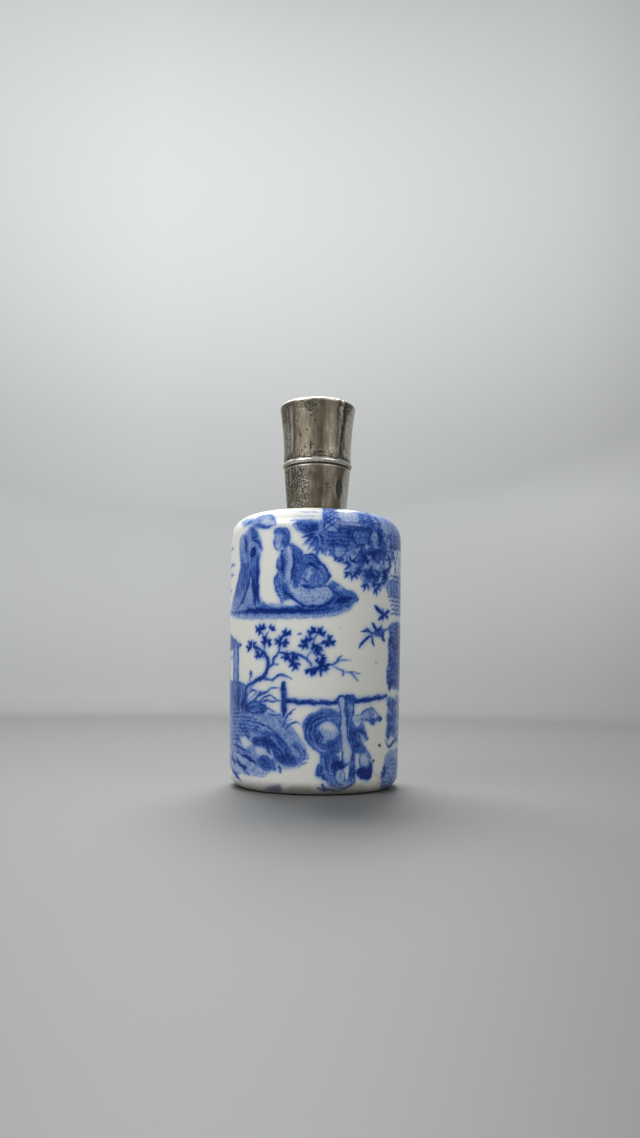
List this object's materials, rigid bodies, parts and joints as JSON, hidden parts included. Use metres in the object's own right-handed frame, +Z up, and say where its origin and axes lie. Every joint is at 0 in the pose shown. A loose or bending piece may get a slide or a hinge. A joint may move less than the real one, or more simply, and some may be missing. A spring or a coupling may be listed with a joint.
{
  "type": "perfume bottle",
  "caption": "Small round blue-and-white porcelain perfume bottle with a tarnished silver collar and a flared silver cap that lifts off.",
  "frame": {"origin": "centre of the round foot, on the plane that the bottle stands on", "axes": "+Z up along the bottle's axis, from the foot to the cap; -Y towards the side that the picture shows"},
  "size_m": [0.0312, 0.0312, 0.0698],
  "materials": {
    "porcelain": "white porcelain under a clear gloss glaze, with a cobalt blue transfer print",
    "collar_silver": "worn silver with brown-grey tarnish, pits and small dents",
    "cap_silver": "worn silver with brown-grey tarnish, scratches and bright rubbed edges"
  },
  "bodies": {
    "root": {"porcelain_bottle": "porcelain", "silver_collar": "collar_silver", "silver_cap": "cap_silver"}
  },
  "joints": []
}
